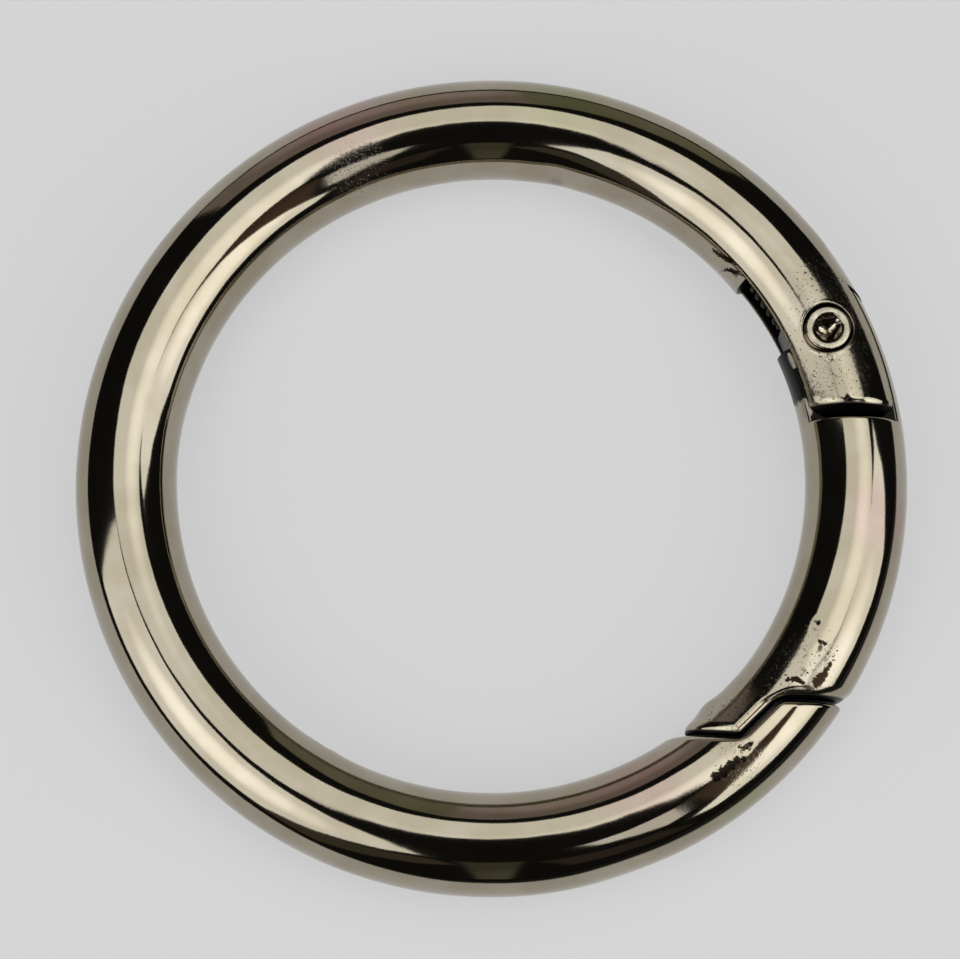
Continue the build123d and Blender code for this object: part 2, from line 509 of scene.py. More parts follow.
# Tinted patches of the plating, and worn ones: ring angle, wire angle, reach in mm
PINK_PLACES = [(112.9, 40, 2.6), (-6.8, 62, 1.6), (-64.6, 121, 1.9)]
GREEN_PLACES = [(79.8, 45, 2.4), (-52, 20, 1.5)]
BODY_WORN = [(23, 90, 2.4), (16, 115, 2.2), (30, 68, 1.5), (-50, 80, 1.3), (113, 125, 1.5)]
GATE_WORN = [(-36, 85, 1.8), (-30, 95, 1.4), (-46, 130, 1.3)]

# Marks are chains of spots: ring angle, wire angle, reach and, where they lie under the skin, depth in mm
BODY_NICK = [
    (-48.7, 90.5, 0.06), (-48.5, 88, 0.07), (-48.2, 85.8, 0.07), (-47.9, 83, 0.07), (-47.7, 80.4, 0.06),
]
BODY_BLOT = [(-49.4, 77, 0.15), (-50.4, 80, 0.22), (-51.6, 80, 0.27), (-52.9, 80, 0.28), (-54.2, 80, 0.26)]
# A dark line along the flash beside the groove
FLASH_DARK_LINE = [
    (42.3, 166, 0.07), (41.9, 161.5, 0.11), (41.6, 157.5, 0.13), (41.1, 154.7, 0.13), (40.7, 152, 0.14),
    (40.2, 149.6, 0.14), (39.8, 147.5, 0.12), (39.4, 146, 0.10), (39.0, 145, 0.08), (38.5, 144.7, 0.06),
]
FLASH_STAIN = [
    (45.6, 150, 0.12), (44.9, 149, 0.14), (44.2, 148, 0.16), (43.5, 147, 0.17), (42.9, 146, 0.17),
    (42.3, 144, 0.15), (41.7, 142.5, 0.13), (41.0, 141, 0.10), (40.4, 140, 0.07),
]
# Painted shade: dark spots in the small pits on the gate
GATE_PIT_SHADE = [
    (-25.6, 102.5, 0.11), (-28.2, 91.4, 0.12), (-28.1, 86.5, 0.12), (-28.2, 81, 0.06), (-31.1, 96.1, 0.05),
    (-33.3, 91.8, 0.06), (-33.4, 86, 0.06),
]
# Painted shade: a dark patch that stands for a dent by the shoulder of the lap
GATE_DENT_SHADE = [
    (-35.9, 99.2, 0.12), (-35.4, 95.5, 0.14), (-35.1, 92, 0.16), (-34.9, 88, 0.15), (-34.9, 84.5, 0.12),
]
GATE_STAIN = [
    (-27.5, 71, 0.05), (-28.2, 70.5, 0.06), (-28.9, 70, 0.08), (-29.7, 69, 0.10), (-30.4, 69, 0.13),
    (-31.2, 69, 0.16), (-32.0, 69.5, 0.20), (-32.8, 70, 0.25), (-33.6, 71, 0.30),
]
# Painted highlights: the glinting lens and the lit corner on the tongue's inner side
TONGUE_GLINTS = [
    (22.2, 150, 0.11, 0.1), (21.6, 150, 0.14, 0.1), (21.0, 150, 0.15, 0.1), (20.4, 150, 0.14, 0.1),
    (19.8, 150, 0.11, 0.1), (13.4, 151, 0.16, 0.1), (12.7, 152, 0.24, 0.1), (11.9, 152, 0.28, 0.1),
    (11.2, 152, 0.28, 0.1),
]

# Under the polished skin: where the dull plating begins and ends, and how much deeper it begins at the lap;
# its near-black colour there is painted shade
UNPOLISHED_SHADE_FROM, UNPOLISHED_SHADE_TO, UNPOLISHED_SHADE_AT_LAP = 0.05 * MM, 0.12 * MM, 0.10 * MM


def on_wire(ring_angle, wire_angle, depth=0.0):
    """The point at two angles in degrees, on or under the round wire's surface."""
    angle, section = math.radians(ring_angle), math.radians(wire_angle)
    radius = WIRE_RADIUS - depth
    reach = CENTRE_LINE + radius * math.cos(section)
    return Vector((reach * math.cos(angle), reach * math.sin(angle), radius * math.sin(section)))


def black_nickel(name, plating, worn_places, dark_marks, stains, dull_shade_share=None, glint_places=()):
    """Polished black nickel over a cast body, dull where the polishing wheel never reached and darkened there
    with painted shade, as in its pits and dent, with painted highlights at its glint places.
    """
    material, finish, place = new_material(name)
    x, y, z = finish.parts(place)
    cloud = finish.noise(place, 0.35, detail=3.0)
    fine = finish.noise(place, 9.0, detail=2.0)
    jagged = finish.noise(place, 5.5, detail=3.0)
    worn = finish.spots(place, worn_places, PATCH_EDGE)
    speck = finish.noise(place, 8.5, detail=1.0).smooth(0.655, 0.70) * worn.smooth(0.2, 0.9)
    at_lap = (y * -1).smooth(0, 2 * MM)
    # Painted shade: below the skin, in the slot, the groove and the joints, the colour turns near black
    unpolished_shade = (skin_depth(x, y, z) - at_lap * UNPOLISHED_SHADE_AT_LAP).smooth(UNPOLISHED_SHADE_FROM, UNPOLISHED_SHADE_TO)
    if dull_shade_share is not None:
        unpolished_shade = unpolished_shade.maths("MAXIMUM", dull_shade_share(finish, place, x, y))
    ragged_place = finish.ragged(place)
    # Dark marks: nicks, blots and a dark line by the flash, with painted shade in the gate's pits and dent
    dark = finish.spots(ragged_place, dark_marks)
    stain = finish.spots(ragged_place, stains)
    # Painted highlight: the glint places turn bright
    painted_glint = finish.spots(place, glint_places) * jagged.smooth(0.28, 0.42)

    colour = finish.mix(cloud.smooth(0.35, 0.65), plating.colour, plating.colour_deep)
    pink = finish.spots(place, PINK_PLACES, PATCH_EDGE) * fine.smooth(0.3, 0.6) * 0.55
    green = finish.spots(place, GREEN_PLACES, PATCH_EDGE) * 0.5
    layers = (
        (pink, plating.pink), (green, plating.green), (speck * 0.8, plating.dirt), (stain, plating.stain),
        (dark, plating.dirt), (unpolished_shade, plating.unpolished_shade_colour), (painted_glint, plating.painted_glint),
    )
    for share, tone in layers:
        colour = finish.mix(share, colour, tone)

    rough = plating.roughness + cloud * 0.03 + worn * fine * 0.12
    rough = rough + speck * 0.08 + dark * 0.12 + unpolished_shade * 0.3
    slow = finish.noise(place, 0.45, detail=1.0)
    normal = finish.bump(slow, plating.wave_depth)
    normal = finish.bump(fine, plating.grain_depth, normal=normal)
    normal = finish.bump(jagged * worn, plating.scuff_depth, normal=normal)
    normal = finish.bump(1 - speck, plating.pit_depth, normal=normal)
    finish.surface({"Base Color": colour, "Metallic": 1.0, "Roughness": rough, "Normal": normal})
    return material


def tongue_dull_shade(finish, place, x, y):
    """One over the tongue between the ears, which nobody polished and which lies in shade; there the colour
    is painted shade.
    """
    uneven = finish.noise(place, 2.5, detail=3.0) * 0.8 * MM
    above = (y - GATE_TOP_Y - uneven).smooth(0.5 * MM, 0.7 * MM)
    inner = (CENTRE_LINE - (x * x + y * y).maths("SQRT")).smooth(0.3 * MM, 0.8 * MM)
    return above * inner


# The rivet's heads: the waist, the lower dome, the rolled rim and the skirt that fills the counterbore
SHANK_SHARE = 0.68
DOME_HEIGHT = 0.3 * MM
RIM_SPREAD = 0.03 * MM
RIM_RISE = 0.16 * MM
RIM_DROP = 0.24 * MM
SKIRT_GAP = 0.015 * MM
SKIRT_DROP = 0.32 * MM
RIVET_STEPS, DOME_STEPS, RIM_STEPS, DIMPLE_STEPS = 96, 12, 20, 24
RIVET_SHARP_EDGE = math.radians(24)

# The facets that the punch left in the dimple: which way each one rises, the slope of the steep ones and
# how deep the facets begin, as a share of the dimple's depth
SHALLOW_FACETS = (30, 165, 285)
STEEP_FACETS = (100, 232, 335)
STEEP_SLOPE = math.radians(46)
FACET_REACH = 0.95
FACET_DEPTH = 0.79

# Where light catches the flats in the bottom of the rivet's dimple, and its wall: right, up and reach in mm
DIMPLE_LIGHTS = [(-0.24, 0.0, 0.24), (0.27, 0.12, 0.26), (0.10, -0.40, 0.06)]
WALL_LIGHT = (0.55, 0.40, 0.17)
FLAT_LIGHT_DEPTH, WALL_LIGHT_DEPTH = 0.55, 0.3
LIGHT_EDGE = 0.05 * MM

# The spring's closed ends, and the steps of its mesh
CLOSED_TURNS = 0.75
CLOSED_PITCH = 1.1
STEPS_A_TURN = 32
SPRING_WIRE_SIDES = 12

# The stage
PAPER_HALF = 1.0
PAPER_EDGE = 0.03
SENSOR_WIDTH = 36
UNLIT = (0.01, 0.01, 0.01)


# Settings

def tint(name, description, default):
    """A colour that a user may change."""
    return FloatVectorProperty(
        name=name, description=description, subtype="COLOR", size=3, min=0, max=1, default=default)


def length(name, description, default):
    """A length that a user may change, held in metres and given here in millimetres."""
    return FloatProperty(
        name=name, description=description, unit="LENGTH", precision=6, default=default * MM)


class PlatingSettings(PropertyGroup):
    """Colours and polish of the plated castings."""

    colour: tint("Colour", "Black nickel where it is best polished", (0.40, 0.362, 0.283))
    colour_deep: tint("Deep Colour", "Black nickel in its darker clouds", (0.355, 0.315, 0.235))
    pink: tint("Pink Tint", "Where the plating is thin and turns pink", (0.42, 0.26, 0.27))
    green: tint("Green Tint", "Where the plating turns olive", (0.30, 0.31, 0.17))
    # Painted shade: the near-black colour of the dull plating in the slot, groove and joints
    unpolished_shade_colour: tint(
        "Hidden Colour", "Unpolished plating in the slot, groove and joints", (0.009, 0.008, 0.007))
    # Dirt colours the specks, nicks and blots, and is painted shade in the gate's pits and dent
    dirt: tint("Dirt", "Polish and dirt in pits and specks", (0.017, 0.013, 0.009))
    stain: tint("Stain", "Brown tarnish beside the lap", (0.025, 0.016, 0.009))
    # Painted highlight: the colour of the glints on the tongue
    painted_glint: tint("Bare", "Where handling has brightened the plating", (0.27, 0.25, 0.20))
    roughness: FloatProperty(
        name="Roughness", description="Roughness of the polished skin", default=0.05, min=0, max=1)
    wave_depth: length("Wave Depth", "Depth of the slow waves in the polish", 0.012)
    grain_depth: length("Grain Depth", "Depth of the fine grain in the polish", 0.0006)
    pit_depth: length("Pit Depth", "Depth of the small pits round the hinge and the lap", 0.003)
    scuff_depth: length("Scuff Depth", "Depth of the unevenness where the skin is scuffed", 0.004)


class CastingSettings(PropertyGroup):
    """Edge rounds and unevenness of the two castings."""

    wave_height: length("Wave Height", "Height of the slow waves in the wire's surface", 0.012)
    seed: IntProperty(name="Seed", description="Picks the pattern of the waves", default=5, min=0)
    lip_height: length("Lip Height", "Height of the upset lip round the rivet's counterbore", 0.014)
    ear_end_cut: length("Ear End Cut", "Width of the flat cut over the ends of the ears", 0.62)
    ear_end_round: length("Ear End Round", "Round beside the cut over the ends of the ears", 0.16)
    seat_edge_round: length("Seat Edge Round", "Round of the ring body's edges at the lap", 0.28)
    lap_edge_cut: length("Lap Edge Cut", "Width of the flat cut over the gate's edges at the lap", 0.34)
    lap_edge_lean: FloatProperty(
        name="Lap Edge Lean", description="Slope of that cut, one where it is as far in as down",
        default=0.73, min=0.2, max=2)
    lap_edge_round: length("Lap Edge Round", "Round beside the cut over the gate's lap edges", 0.12)
    gate_top_round: length("Gate Top Round", "Round of the gate's edge under the ears", 0.16)
    tongue_round: length("Tongue Round", "Round of the tongue's long edges", 0.08)
    rivet_edge: length("Rivet Edge", "Longest mesh edge round the rivet", 0.07)
    fine_edge: length("Fine Edge", "Longest mesh edge beside a rounded edge", 0.11)
    plain_edge: length("Plain Edge", "Longest mesh edge elsewhere", 0.55)


class RivetSettings(PropertyGroup):
    """Plating of the rivet, and the dimple in its rolled upper head."""

    colour: tint("Colour", "The rivet's plating", (0.40, 0.37, 0.29))
    # Painted shade: Dirt darkens the dimple and Tarnish, brown, the skirt round the rim
    dirt: tint("Dirt", "Polish and dirt down in the dimple", (0.035, 0.026, 0.018))
    tarnish: tint("Tarnish", "Brown tarnish on the skirt round the rim", (0.13, 0.095, 0.055))
    lit: tint("Lit", "Facets that catch the light", (0.62, 0.58, 0.48))
    dimple_radius: length("Dimple Radius", "Radius of the punched dimple", 0.75)
    dimple_depth: length("Dimple Depth", "Depth of the dimple at its middle", 0.85)
    facet_slope: FloatProperty(
        name="Facet Slope", description="Slope of the shallow facets in the dimple", subtype="ANGLE",
        default=math.radians(28))


class SpringSettings(PropertyGroup):
    """Sizes of the gate's coil spring."""

    diameter: length("Diameter", "Outside diameter of the coil", 1.9)
    wire_diameter: length("Wire Diameter", "Diameter of the spring wire", 0.3)
    turns: FloatProperty(name="Turns", description="Number of turns", default=5.5, min=1)
    seat_height: length("Seat Height", "Height of the heel above the pivot, along the ring", 1.35)
    seat_inset: length("Seat Inset", "How far the coil's axis lies inside the pivot", 1.0)
    end_clearance: length("End Clearance", "Gap at each end of the coil", 0.15)
    shut_share: FloatProperty(
        name="Shut Share", description="Share of its length that is left when the gate is open",
        default=0.65, min=0.1, max=1)
    colour: tint("Colour", "Dark drawn wire", (0.022, 0.020, 0.017))
    colour_deep: tint("Deep Colour", "Oily dirt on the wire", (0.015, 0.012, 0.010))


class StageSettings(PropertyGroup):
    """Camera, paper and lamps."""

    camera_place: FloatVectorProperty(
        name="Camera Place", description="Where the camera stands", subtype="TRANSLATION",
        size=3, default=(0.001508, -0.030731, 0.149921), precision=6)
    camera_turn: FloatVectorProperty(
        name="Camera Turn", description="How the camera is turned", subtype="EULER", size=3,
        default=tuple(math.radians(angle) for angle in (11.574987, 0.754231, 0.154473)))
    lens: FloatProperty(name="Lens", description="Focal length in millimetres", default=112.5)
    lamp_distance: length("Lamp Distance", "How far the soft boxes stand from the ring", 400)
    box_edge: FloatProperty(
        name="Box Edge", description="Angle over which a soft box's edge fades", subtype="ANGLE",
        default=math.radians(1.3), min=0.001)
    spot_reach: FloatProperty(
        name="Spot Reach", description="Angle from a soft box's brightest spot to its even part",
        subtype="ANGLE", default=math.radians(22))
    paper_colour: tint("Paper Colour", "The paper under the ring", (0.86, 0.86, 0.875))
    paper_glow: FloatProperty(
        name="Paper Glow", description="Share of the paper's look that is even and takes no shadow",
        default=0.72, min=0, max=1)
    paper_level: FloatProperty(
        name="Paper Level", description="Brightness of the even share", default=0.76, min=0, max=1)
    paper_middle: FloatVectorProperty(
        name="Paper Middle", description="Middle of the paper that shows in the polished metal",
        subtype="TRANSLATION", size=2, default=(-0.10, 0.10))
    paper_radius: length("Paper Radius", "How far from that middle the paper shows in the metal", 180)


# Soft boxes and dim surfaces of the room: level, colour, brightest spot, share of the level that is left away
# from it, corners, and the corners of a dark flag in front of it. Spots and corners are azimuths and
# elevations in degrees, seen from the ring.
SOFT_BOXES = [
    ("lamp_left", 2.3, (1, 1, 1), (214, 42), 0.62,
     [(185, 9), (160, 65), (191, 71), (244, 64), (256, 48), (230, 11), (212, 7)]),
    ("lamp_right", 2.4, (1, 1, 1), (336, 38), 0.68,
     [(14, 57), (23, 45), (13, 32), (356, 10), (343, 13), (312, 10), (306, 24), (347, 58)]),
    ("lamp_over", 2.05, (1, 1, 0.98), (0, 74), 0.64,
     [(107, 52), (88, 47), (56, 48), (28, 50), (10, 57), (346, 57), (323, 70), (205, 72), (159, 65),
      (152, 54)],
     [(95, 84), (218, 69), (321, 70)]),
    ("lamp_small", 1.05, (1, 1, 1), (298, 48), 1.0,
     [(288, 58), (309, 61), (306, 38), (301, 35), (290, 50)]),
    ("glow_pink", 0.44, (1, 0.83, 0.79), (104, 8), 0.55,
     [(131, 2.5), (110, 3), (87, 4), (86, 38), (126, 37)]),
    ("glow_green", 0.19, (1, 1, 0.68), (75, 10), 0.9, [(87, 3), (57, 3), (61, 25), (86, 38)]),
    ("glow_strip", 0.10, (1, 1, 0.66), (270, 10), 0.7, [(264, 45), (275, 45), (273, 4), (267, 4)]),
    ("glow_brown", 0.085, (1, 0.62, 0.38), (320, 45), 0.7,
     [(322, 69), (343, 58), (330, 45), (311, 24), (310, 38), (312, 62)]),
    ("glow_low_left", 0.06, (1, 0.85, 0.6), (240, 20), 1.0, [(225, 8), (258, 43), (264, 36), (240, 5)]),
    ("glow_low_right", 0.035, (1, 0.75, 0.6), (295, 20), 1.0, [(278, 41), (299, 28), (305, 6), (284, 20)]),
]


def toward(azimuth, elevation):
    """The direction from the ring at an azimuth and an elevation in degrees."""
    side, rise = math.radians(azimuth), math.radians(elevation)
    return Vector((math.cos(rise) * math.cos(side), math.cos(rise) * math.sin(side), math.sin(rise)))


# Operators

class GATERING_OT_ring_body(Operator):
    """Makes the plated ring body with its ears, slot, groove and lap seat"""

    bl_idname = "gatering.ring_body"
    bl_label = "Ring Body"

    def execute(self, context):
        casting = context.scene.gatering_casting
        material = black_nickel(
            "black_nickel_body", context.scene.gatering_plating, BODY_WORN,
            BODY_NICK + BODY_BLOT + FLASH_DARK_LINE, FLASH_STAIN)

        def limit_of(points):
            x, y, z = points.T
            near_lap = (y < 0) & (np.abs(lap_below(points)) < NEAR_SEAT)
            near_ears = np.abs(y - EAR_END_Y) < NEAR_EAR_END
            angle, section = np.degrees(ring_angles(points))
            near_flash = np.abs(angle - FLASH_RING_ANGLE) < FLASH_RING_REACH
            near_flash &= np.abs(section - FLASH_WIRE_ANGLE) < FLASH_WIRE_REACH
            near_rivet = (from_rivet(points) < NEAR_RIVET) & (np.abs(z) > RIVET_FROM_HEIGHT)
            near_skin = wire(points) > -FINE_DEPTH
            fine = (x > 0) & near_skin & (near_lap | near_ears | near_flash)
            limit = np.where(fine, casting.fine_edge, casting.plain_edge)
            return np.where(near_rivet & near_skin, casting.rivet_edge, limit)

        def always(points):
            near_lap = np.abs(lap_below(points)) < DRAWN_SEAT
            return (points[:, 0] > 0) & (points[:, 1] < 0) & near_lap

        finished_copy(
            "ring_body_plated", "ring_body", lambda points: body_form(points, casting), limit_of, always,
            material, "ring")
        return {"FINISHED"}


class GATERING_OT_gate(Operator):
    """Makes the plated gate with its tongue, heel and lapped nose"""

    bl_idname = "gatering.gate"
    bl_label = "Gate"

    def execute(self, context):
        casting = context.scene.gatering_casting
        material = black_nickel(
            "black_nickel_gate", context.scene.gatering_plating, GATE_WORN, GATE_PIT_SHADE + GATE_DENT_SHADE,
            GATE_STAIN, tongue_dull_shade, TONGUE_GLINTS)

        def limit_of(points):
            x, y, _ = points.T
            near_lap = (y < 0) & (np.abs(lap_above(points)) < NEAR_NOSE)
            near_top = (x > 0) & (np.abs(y - GATE_TOP_Y) < NEAR_GATE_TOP)
            tongue_edge = (y > GATE_TOP_Y) & (wire(points) > -TONGUE_EDGE_DEPTH)
            return np.where(near_lap | near_top | tongue_edge, casting.fine_edge, casting.plain_edge)

        def always(points):
            return points[:, 1] < 0

        finished_copy(
            "gate_plated", "gate", lambda points: gate_form(points, casting), limit_of, always,
            material, "gate")
        return {"FINISHED"}


class GATERING_OT_hinge_rivet(Operator):
    """Makes the hinge rivet, with a rolled rim round a punched dimple above and a low dome below"""

    bl_idname = "gatering.hinge_rivet"
    bl_label = "Hinge Rivet"

    def execute(self, context):
        rivet = context.scene.gatering_rivet
        profile = self.half_section(rivet)
        bm = bmesh.new()
        corners = [bm.verts.new(corner) for corner in profile]
        edges = [bm.edges.new(pair) for pair in zip(corners, corners[1:])]
        bmesh.ops.spin(
            bm, geom=corners + edges, cent=(0, 0, 0), axis=(0, 0, 1), angle=2 * math.pi,
            steps=RIVET_STEPS, use_merge=True)
        bmesh.ops.remove_doubles(bm, verts=bm.verts, dist=MERGE_DISTANCE / 2)
        self.punch_facets(bm, rivet)
        bmesh.ops.recalc_face_normals(bm, faces=bm.faces)
        bmesh.ops.translate(bm, verts=bm.verts, vec=tuple(PIVOT))
        piece = new_piece("hinge_rivet_upset", bm, self.plating(rivet), "ring")
        piece.data.set_sharp_from_angle(angle=RIVET_SHARP_EDGE)
        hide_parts("hinge_rivet")
        return {"FINISHED"}

    @staticmethod
    def half_section(rivet):
        """The rivet's outline from its lower middle, round both heads, to the dimple's middle."""
        shank = RIVET_RADIUS * SHANK_SHARE
        rim_reach = RIVET_RADIUS + RIM_SPREAD
        rim_middle = (rim_reach + rivet.dimple_radius) / 2
        rim_half = (rim_reach - rivet.dimple_radius) / 2
        skirt = COUNTERBORE_RADIUS - SKIRT_GAP
        section = []
        for step in range(DOME_STEPS + 1):
            angle = math.radians(90) * step / DOME_STEPS
            dome = DOME_HEIGHT * (1 - math.cos(angle))
            section.append((RIVET_RADIUS * math.sin(angle), 0, -RIVET_TOP + dome))
        section += [(RIVET_RADIUS, 0, -COUNTERBORE_FLOOR), (shank, 0, -COUNTERBORE_FLOOR)]
        section += [(shank, 0, COUNTERBORE_FLOOR), (skirt, 0, COUNTERBORE_FLOOR)]
        section += [(skirt, 0, RIVET_TOP - SKIRT_DROP), (rim_reach, 0, RIVET_TOP - RIM_DROP)]
        for step in range(RIM_STEPS + 1):
            angle = math.pi * step / RIM_STEPS
            side = math.copysign(math.sqrt(abs(math.cos(angle))), math.cos(angle))
            rise = math.sqrt(max(math.sin(angle), 0))
            section.append((rim_middle + rim_half * side, 0, RIVET_TOP - RIM_RISE * (1 - rise)))
        for step in range(1, DIMPLE_STEPS + 1):
            share = 1 - step / DIMPLE_STEPS
            fall = (rivet.dimple_depth - RIM_RISE) * (1 - share)
            section.append((rivet.dimple_radius * share, 0, RIVET_TOP - RIM_RISE - fall))
        return section

    @staticmethod
    def punch_facets(bm, rivet):
        """Lifts the bottom of the dimple onto the flat facets of a worn punch."""
        facets = [(angle, rivet.facet_slope) for angle in SHALLOW_FACETS]
        facets += [(angle, STEEP_SLOPE) for angle in STEEP_FACETS]
        bottom = RIVET_TOP - rivet.dimple_depth * FACET_DEPTH
        for vertex in bm.verts:
            radius = math.hypot(vertex.co.x, vertex.co.y)
            if radius < rivet.dimple_radius * FACET_REACH and vertex.co.z > 0:
                bearing = math.atan2(vertex.co.y, vertex.co.x)
                rise = max(
                    radius * math.cos(bearing - math.radians(angle)) * math.tan(slope)
                    for angle, slope in facets)
                vertex.co.z = max(vertex.co.z, bottom + rise)

    @staticmethod
    def plating(rivet):
        """The rivet's plating, bright on the rim, with painted shade darkening the dimple and the skirt and
        painted highlights on the facets that catch the light.
        """
        material, finish, place = new_material("rivet_nickel")
        x, y, z = finish.parts(place)
        fine = finish.noise(place, 7.0, detail=3.0)
        scuff = finish.noise(place, 2.2, detail=2.0)
        upper = z.smooth(0, 0.5 * MM)
        # Painted shade: the dimple and the skirt below the rim's top are darkened
        low = (RIVET_TOP - z).smooth(0.10 * MM, 0.2 * MM) * upper
        lit = 0.0
        for right, up, reach in DIMPLE_LIGHTS:
            spot = PIVOT + np.array((right, up, RIVET_TOP / MM - FLAT_LIGHT_DEPTH)) * MM
            lit = finish.near(place, spot, reach * MM, LIGHT_EDGE) + lit
        right, up, reach = WALL_LIGHT
        spot = PIVOT + np.array((right, up, RIVET_TOP / MM - WALL_LIGHT_DEPTH)) * MM
        broken = finish.noise(place, 8.0).smooth(0.45, 0.55)
        lit = lit + finish.near(place, spot, reach * MM, LIGHT_EDGE) * broken
        scuffed = tuple(0.8 * part for part in rivet.colour)
        colour = finish.mix(scuff.smooth(0.40, 0.62), rivet.colour, scuffed)
        outside = ((x - PIVOT[0]) * (x - PIVOT[0]) + (y - PIVOT[1]) * (y - PIVOT[1])).maths("SQRT")
        # Painted shade: near black in the dimple, brown on the skirt round the rim
        dirt = finish.mix(outside.smooth(0.9 * MM, 1.0 * MM), rivet.dirt, rivet.tarnish)
        colour = finish.mix(low, colour, dirt)
        colour = finish.mix(lit, colour, rivet.lit)
        normal = finish.bump(fine, 0.004 * MM)
        normal = finish.bump(scuff * (1 - low), 0.03 * MM, normal=normal)
        rough = 0.07 + fine * 0.12
        finish.surface({"Base Color": colour, "Metallic": 1.0, "Roughness": rough, "Normal": normal})
        return material


class GATERING_OT_gate_spring(Operator):
    """Winds the small coil spring that shuts the gate"""

    bl_idname = "gatering.gate_spring"
    bl_label = "Gate Spring"

    def execute(self, context):
        spring = context.scene.gatering_spring
        heel_seat = PIVOT - OUTWARD * spring.seat_inset + ALONG * spring.seat_height
        seat_radius = math.hypot(heel_seat[0], heel_seat[1])
        end_angle = math.radians(GROOVE_END_ANGLE)
        wall_seat = seat_radius * np.array((math.cos(end_angle), math.sin(end_angle), 0))
        along = Vector(wall_seat - heel_seat)
        coil_length = along.length - 2 * spring.end_clearance - spring.wire_diameter
        along.normalize()
        coil_radius = (spring.diameter - spring.wire_diameter) / 2

        bm = bmesh.new()
        made = bmesh.ops.create_circle(
            bm, cap_ends=True, radius=spring.wire_diameter / 2, segments=SPRING_WIRE_SIDES)
        across = Matrix.Rotation(math.radians(90), 3, "X")
        bmesh.ops.rotate(bm, verts=made["verts"], cent=(0, 0, 0), matrix=across)
        bmesh.ops.translate(bm, verts=made["verts"], vec=(coil_radius, 0, 0))
        self.wind(bm, spring, coil_length)
        bmesh.ops.recalc_face_normals(bm, faces=bm.faces)
        start = Vector(heel_seat) + along * (spring.end_clearance + spring.wire_diameter / 2)
        bmesh.ops.transform(bm, verts=bm.verts, matrix=along.to_track_quat("Z", "Y").to_matrix().to_4x4())
        bmesh.ops.translate(bm, verts=bm.verts, vec=start)
        piece = new_piece("gate_spring_coil", bm, self.drawn_wire(spring), "ring")
        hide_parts("gate_spring")
        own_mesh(piece)
        return {"FINISHED"}

    @staticmethod
    def wind(bm, spring, coil_length):
        """Winds the wire up Z with a closed turn at each end and the open turns between."""
        closed = (CLOSED_TURNS, CLOSED_TURNS * spring.wire_diameter * CLOSED_PITCH)
        opened = (spring.turns - 2 * CLOSED_TURNS, coil_length - 2 * closed[1])
        for turns, rise in (closed, opened, closed):
            steps = round(turns * STEPS_A_TURN)
            last = [face for face in bm.faces if face.select] or bm.faces[:]
            outline = last[-1]
            geometry = [outline, *outline.edges, *outline.verts]
            made = bmesh.ops.spin(
                bm, geom=geometry, cent=(0, 0, 0), axis=(0, 0, 1), dvec=(0, 0, rise / steps),
                angle=2 * math.pi * turns, steps=steps)
            for face in bm.faces:
                face.select = False
            next(item for item in made["geom_last"] if isinstance(item, bmesh.types.BMFace)).select = True

    @staticmethod
    def drawn_wire(spring):
        """Dark drawn steel wire with faint draw lines and a film of oil."""
        material, finish, place = new_material("dark_drawn_wire")
        grain = finish.noise(place, 12.0, detail=2.0)
        dirt = finish.noise(place, 1.6, detail=3.0)
        colour = finish.mix(dirt.smooth(0.45, 0.7), spring.colour, spring.colour_deep)
        normal = finish.bump(grain, 0.002 * MM)
        rough = 0.45 + dirt * 0.2
        finish.surface({"Base Color": colour, "Metallic": 1.0, "Roughness": rough, "Normal": normal})
        return material


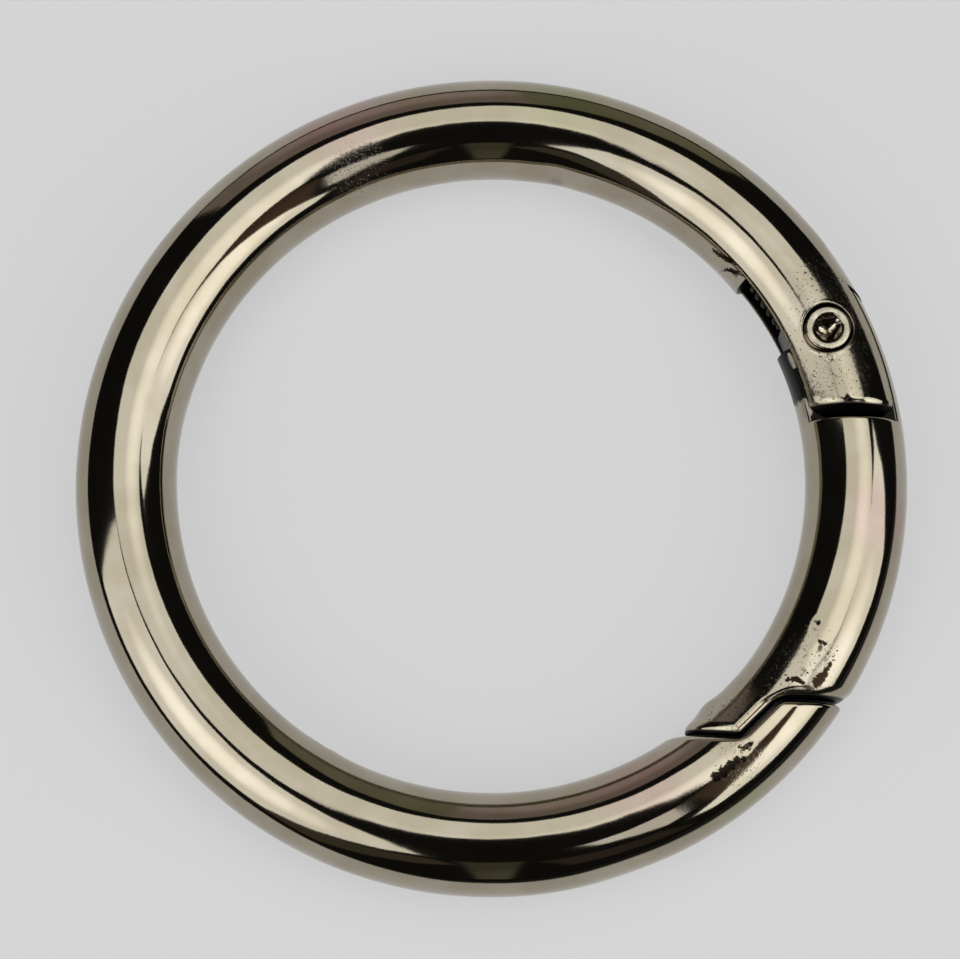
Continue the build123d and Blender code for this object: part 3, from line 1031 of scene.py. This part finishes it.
class GATERING_OT_stage(Operator):
    """Lays the paper, stands the soft boxes round the ring and places the camera above it"""

    bl_idname = "gatering.stage"
    bl_label = "Stage"

    def execute(self, context):
        stage = context.scene.gatering_stage
        self.lay_paper(context, stage)
        self.place_camera(context, stage)
        for box in SOFT_BOXES:
            self.soft_box(context, stage, *box)
        world = bpy.data.worlds.new("dark_room")
        world.use_nodes = True
        world.node_tree.nodes["Background"].inputs["Color"].default_value = (*UNLIT, 1)
        context.scene.world = world
        context.scene.view_settings.view_transform = "Standard"
        return {"FINISHED"}

    @staticmethod
    def lay_paper(context, stage):
        """A sheet of pale paper under the ring, which shows in the metal only near the ring."""
        bm = bmesh.new()
        bmesh.ops.create_grid(bm, x_segments=1, y_segments=1, size=PAPER_HALF)
        bmesh.ops.translate(bm, verts=bm.verts, vec=(0, 0, -WIRE_RADIUS))
        mesh = bpy.data.meshes.new("paper")
        bm.to_mesh(mesh)
        bm.free()
        paper = bpy.data.objects.new("paper", mesh)
        context.scene.collection.objects.link(paper)
        material, finish, place = new_material("pale_paper")
        seen = finish.node("ShaderNodeLightPath", {}, {}, "Is Camera Ray")
        reflected = finish.node("ShaderNodeLightPath", {}, {}, "Is Glossy Ray")
        middle = (*stage.paper_middle, -WIRE_RADIUS)
        within = finish.near(place, middle, stage.paper_radius, stage.paper_radius * PAPER_EDGE)
        shown = seen + reflected * within
        paper_lit = tuple(part * (1 - stage.paper_glow) for part in stage.paper_colour)
        paper_glow = tuple(part * stage.paper_glow * stage.paper_level for part in stage.paper_colour)
        finish.surface({
            "Base Color": finish.mix(reflected * (1 - within), paper_lit, UNLIT),
            "Emission Color": finish.mix(shown, (0, 0, 0), paper_glow),
            "Emission Strength": 1.0, "Roughness": 0.9, "Specular IOR Level": 0.1})
        mesh.materials.append(material)

    @staticmethod
    def place_camera(context, stage):
        """A long lens above the ring, a little toward its lower side."""
        data = bpy.data.cameras.new("camera")
        data.lens = stage.lens
        data.sensor_width = SENSOR_WIDTH
        data.clip_start = 0.01
        camera = bpy.data.objects.new("camera", data)
        camera.location = stage.camera_place
        camera.rotation_euler = stage.camera_turn
        context.scene.collection.objects.link(camera)
        context.scene.camera = camera

    @staticmethod
    def soft_box(context, stage, name, level, colour, bright_spot, even_share, corners, flag=()):
        """A lamp whose lit part has its corners where they are seen from the ring."""
        outline = [toward(*corner) for corner in corners]
        middle = sum(outline, Vector()).normalized()
        turn = middle.to_track_quat("Z", "Y").to_matrix()
        light = bpy.data.lights.new(name, "AREA")
        light.shape = "RECTANGLE"
        distance = stage.lamp_distance
        light.size, light.size_y = (
            2 * distance * max(abs(corner.dot(side)) / corner.dot(middle) for corner in outline)
            for side in (turn.col[0], turn.col[1]))
        light.energy = level * math.pi * light.size * light.size_y
        light.color = colour

        finish = Finish(light, "Emission")
        place = finish.node("ShaderNodeNewGeometry", {}, {}, "Position")
        seen = finish.node("ShaderNodeVectorMath", {"operation": "NORMALIZE"}, {0: place})
        lit = finish.inside(seen, outline, stage.box_edge)
        if flag:
            lit = (1 - finish.inside(seen, [toward(*corner) for corner in flag], stage.box_edge)) * lit
        from_spot = 1 - finish.dot(seen, toward(*bright_spot))
        glow = 1 - from_spot.smooth(0, 1 - math.cos(stage.spot_reach)) * (1 - even_share)
        finish.surface({"Strength": lit * glow})

        lamp = bpy.data.objects.new(name, light)
        lamp.matrix_world = Matrix.Translation(middle * distance) @ turn.to_4x4()
        lamp.visible_camera = False
        context.scene.collection.objects.link(lamp)


class GATERING_PT_pieces(Panel):
    """The pieces of the ring and its stage, in the order in which they are made"""

    bl_idname = "GATERING_PT_pieces"
    bl_label = "Spring Gate Ring"
    bl_space_type = "VIEW_3D"
    bl_region_type = "UI"
    bl_category = "Gate Ring"

    def draw(self, context):
        for operator in PIECE_OPERATORS:
            self.layout.operator(operator.bl_idname)
        for name in SETTINGS:
            settings = getattr(context.scene, name)
            box = self.layout.box()
            box.label(text=type(settings).__doc__)
            for item in settings.bl_rna.properties:
                if item.identifier not in ("rna_type", "name"):
                    box.prop(settings, item.identifier)


SETTINGS = {
    "gatering_plating": PlatingSettings,
    "gatering_casting": CastingSettings,
    "gatering_rivet": RivetSettings,
    "gatering_spring": SpringSettings,
    "gatering_stage": StageSettings,
}
PIECE_OPERATORS = (
    GATERING_OT_ring_body,
    GATERING_OT_gate,
    GATERING_OT_hinge_rivet,
    GATERING_OT_gate_spring,
    GATERING_OT_stage,
)
CLASSES = (*SETTINGS.values(), *PIECE_OPERATORS, GATERING_PT_pieces)


def register():
    for made in CLASSES:
        bpy.utils.register_class(made)
    for name, settings in SETTINGS.items():
        setattr(bpy.types.Scene, name, PointerProperty(type=settings))


def unregister():
    for name in SETTINGS:
        delattr(bpy.types.Scene, name)
    for made in reversed(CLASSES):
        bpy.utils.unregister_class(made)


def main():
    register()
    bpy.ops.gatering.ring_body()
    bpy.ops.gatering.gate()
    bpy.ops.gatering.hinge_rivet()
    bpy.ops.gatering.gate_spring()
    bpy.ops.gatering.stage()


if __name__ == "__main__":
    main()
